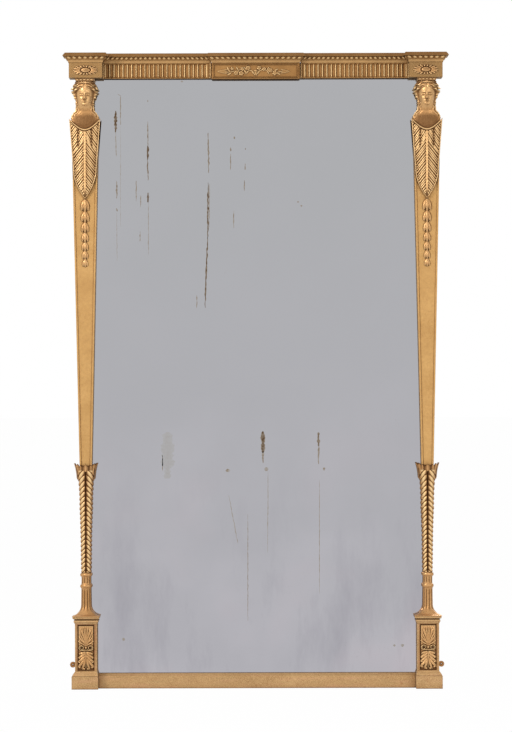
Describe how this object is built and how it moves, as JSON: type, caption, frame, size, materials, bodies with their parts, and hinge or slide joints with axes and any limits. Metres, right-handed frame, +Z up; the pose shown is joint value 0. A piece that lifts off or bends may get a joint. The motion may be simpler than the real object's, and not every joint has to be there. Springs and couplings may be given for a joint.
{
  "type": "pier mirror",
  "caption": "Tall giltwood pier mirror: upright silvered plate between carved herm columns on plinths, under a fluted frieze and moulded cornice, with wall lugs.",
  "frame": {"origin": "middle of the frame's box on the floor, half way between wall face and cornice front", "axes": "+Z up, +X to the viewer's right, -Y towards the viewer, +Y towards the wall"},
  "size_m": [1.333, 0.139, 2.2],
  "materials": {
    "giltwood": "water-gilt gold leaf over reddish bole, rubbed and toned",
    "carcass_pine": "bare aged pine",
    "backboard_pine": "bare aged pine",
    "silvered_glass": "old silvered plate with small losses",
    "lug_brass": "dull brass",
    "screw_steel": "darkened steel"
  },
  "bodies": {
    "root": {"left_frieze_block": "giltwood", "left_fluted_frieze": "giltwood", "left_patera": "giltwood", "left_cornice_block": "giltwood", "left_cornice_run": "giltwood", "left_capital": "giltwood", "left_head": "giltwood", "left_leaf_shield": "giltwood", "left_term_shaft": "giltwood", "left_husk_drop": "giltwood", "left_leaf_column": "giltwood", "left_fluted_foot": "giltwood", "left_plinth_cap": "giltwood", "left_plinth": "giltwood", "left_plinth_carving": "giltwood", "left_plinth_base": "giltwood", "left_base_block": "giltwood", "right_frieze_block": "giltwood", "right_fluted_frieze": "giltwood", "right_patera": "giltwood", "right_cornice_block": "giltwood", "right_cornice_run": "giltwood", "right_capital": "giltwood", "right_head": "giltwood", "right_leaf_shield": "giltwood", "right_term_shaft": "giltwood", "right_husk_drop": "giltwood", "right_leaf_column": "giltwood", "right_fluted_foot": "giltwood", "right_plinth_cap": "giltwood", "right_plinth": "giltwood", "right_plinth_carving": "giltwood", "right_plinth_base": "giltwood", "right_base_block": "giltwood", "frieze_tablet": "giltwood", "tablet_spray": "giltwood", "cornice_tablet": "giltwood", "base_rail": "giltwood", "left_stile": "carcass_pine", "right_stile": "carcass_pine", "top_rail": "carcass_pine", "bottom_rail": "carcass_pine", "glass_bead_left": "carcass_pine", "glass_bead_right": "carcass_pine", "glass_bead_top": "carcass_pine", "glass_bead_bottom": "carcass_pine", "backboard_1": "backboard_pine", "backboard_2": "backboard_pine", "backboard_3": "backboard_pine", "backboard_4": "backboard_pine", "backboard_5": "backboard_pine", "mirror_plate": "silvered_glass", "left_wall_lug": "lug_brass", "left_lug_screw_1": "screw_steel", "left_lug_screw_2": "screw_steel", "right_wall_lug": "lug_brass", "right_lug_screw_1": "screw_steel", "right_lug_screw_2": "screw_steel"}
  },
  "joints": []
}
